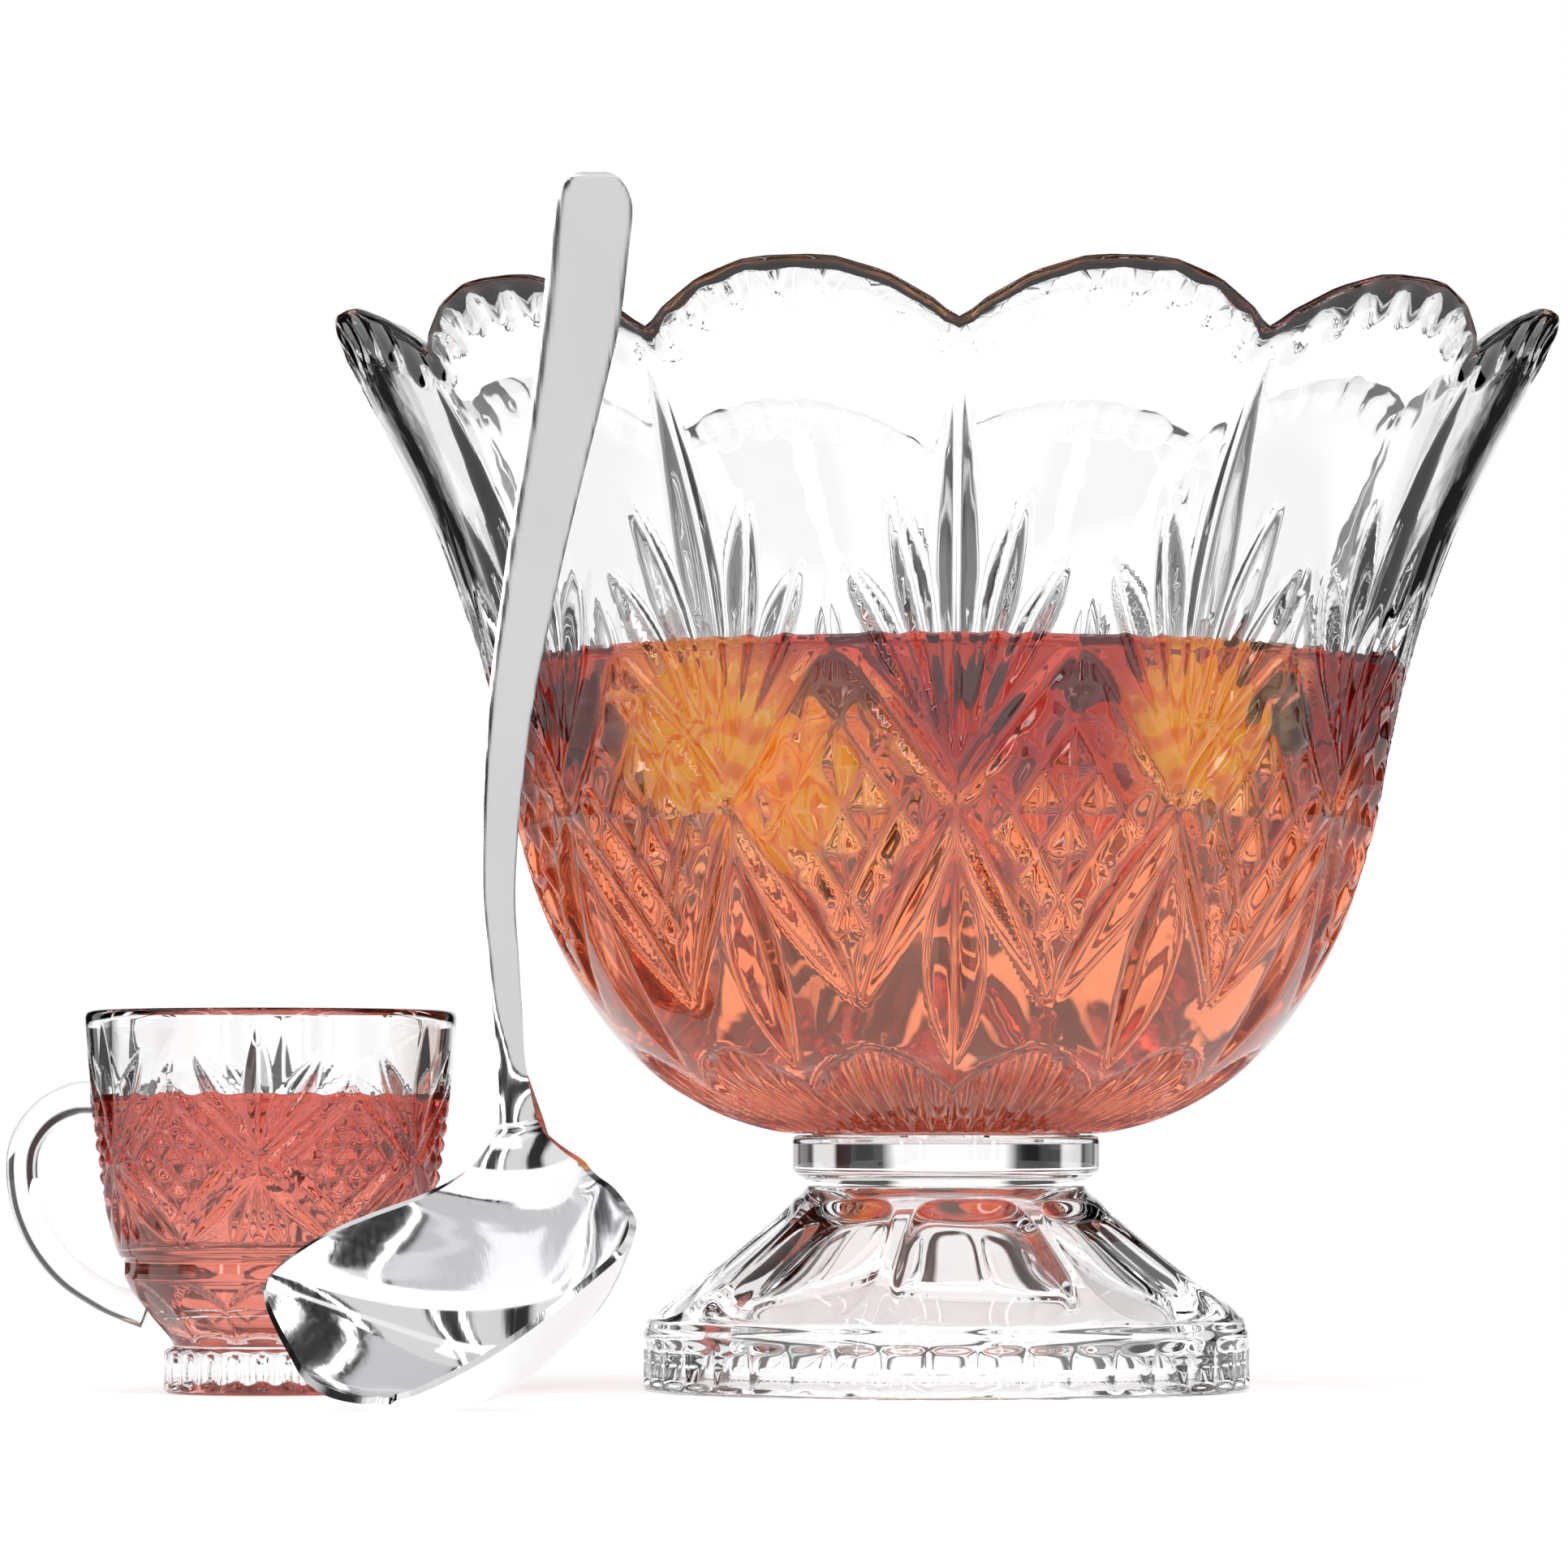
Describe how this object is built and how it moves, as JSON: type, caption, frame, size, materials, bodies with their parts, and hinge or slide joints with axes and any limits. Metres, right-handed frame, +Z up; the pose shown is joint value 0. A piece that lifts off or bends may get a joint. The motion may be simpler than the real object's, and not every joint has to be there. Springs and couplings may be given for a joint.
{
  "type": "punch bowl set",
  "caption": "Scalloped cut-glass punch bowl on a separate pedestal stand, with a matching handled cup and a two-lipped steel ladle.",
  "frame": {"origin": "centre of the stand's underside, on the bowl's axis, at table height", "axes": "+Z up along the bowl's axis; +X to the right seen from the front, so the cup and ladle are on the -X side; -Y towards the viewer"},
  "size_m": [0.3638, 0.3206, 0.27],
  "materials": {
    "crystal": "clear polished cut glass",
    "steel": "mirror-polished stainless steel"
  },
  "bodies": {
    "stand": {"pedestal_stand": "crystal"},
    "bowl": {"punch_bowl": "crystal"},
    "ladle": {"ladle_bowl": "steel", "ladle_handle": "steel"},
    "cup": {"cup_body": "crystal", "cup_handle": "crystal"}
  },
  "joints": [
    {"name": "bowl_lift", "type": "slide", "parent": "stand", "child": "bowl", "axis": [0, 0, 1], "range_m": [0, 0.06]},
    {"name": "ladle_lift", "type": "slide", "parent": "stand", "child": "ladle", "axis": [0, 0, 1], "range_m": [0, 0.12]},
    {"name": "cup_lift", "type": "slide", "parent": "stand", "child": "cup", "axis": [0, 0, 1], "range_m": [0, 0.08]}
  ]
}
